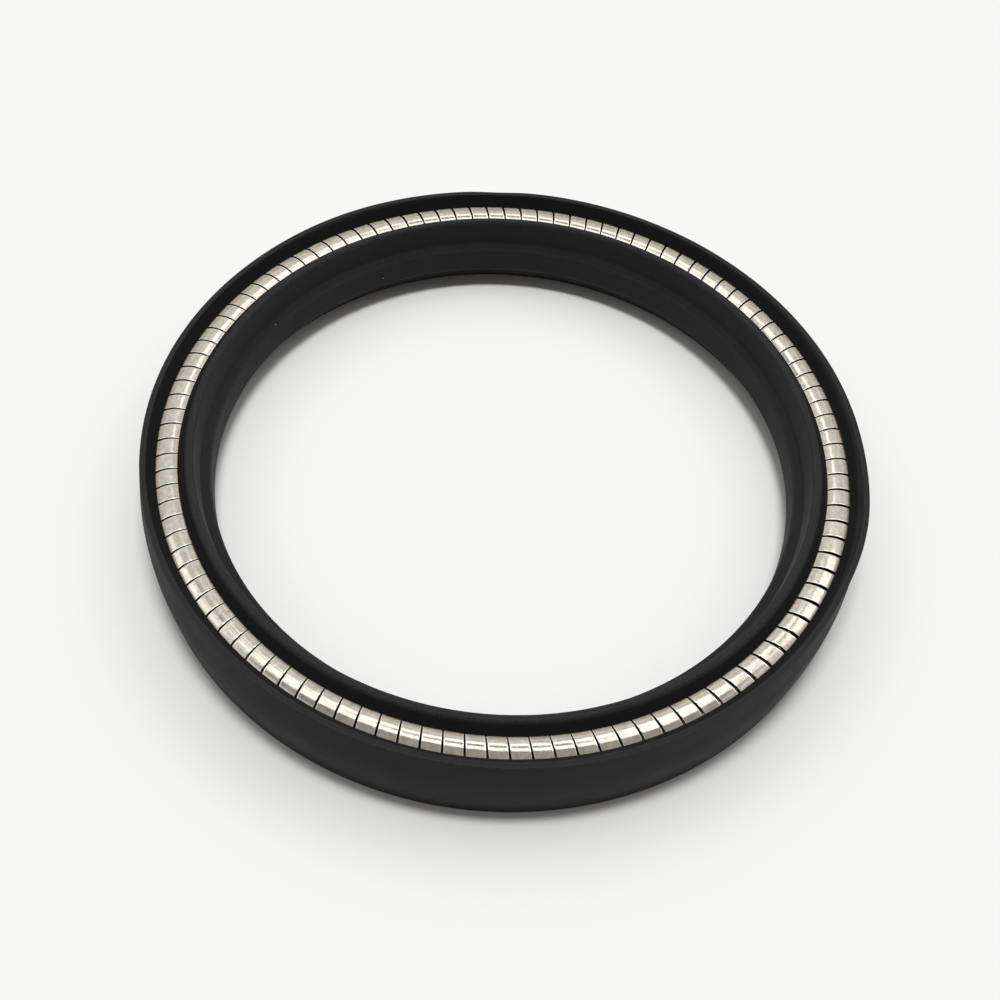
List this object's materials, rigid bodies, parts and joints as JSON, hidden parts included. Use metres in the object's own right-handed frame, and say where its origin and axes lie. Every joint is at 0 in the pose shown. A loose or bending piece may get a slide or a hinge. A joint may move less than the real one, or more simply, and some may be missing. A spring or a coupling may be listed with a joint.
{
  "type": "spring-energized seal",
  "caption": "Round black U-section seal ring with an open groove on top, held open by a helically wound flat metal ribbon spring. Seals a rod in its gland.",
  "frame": {"origin": "middle of the base, on the ring's axis", "axes": "+Z along the ring's axis, from the heel towards the open groove"},
  "size_m": [0.0548, 0.0548, 0.0069],
  "materials": {
    "jacket": "satin, turned",
    "spring": "rolled ribbon, bright"
  },
  "bodies": {
    "root": {"jacket": "jacket", "energizer_spring": "spring"}
  },
  "joints": []
}
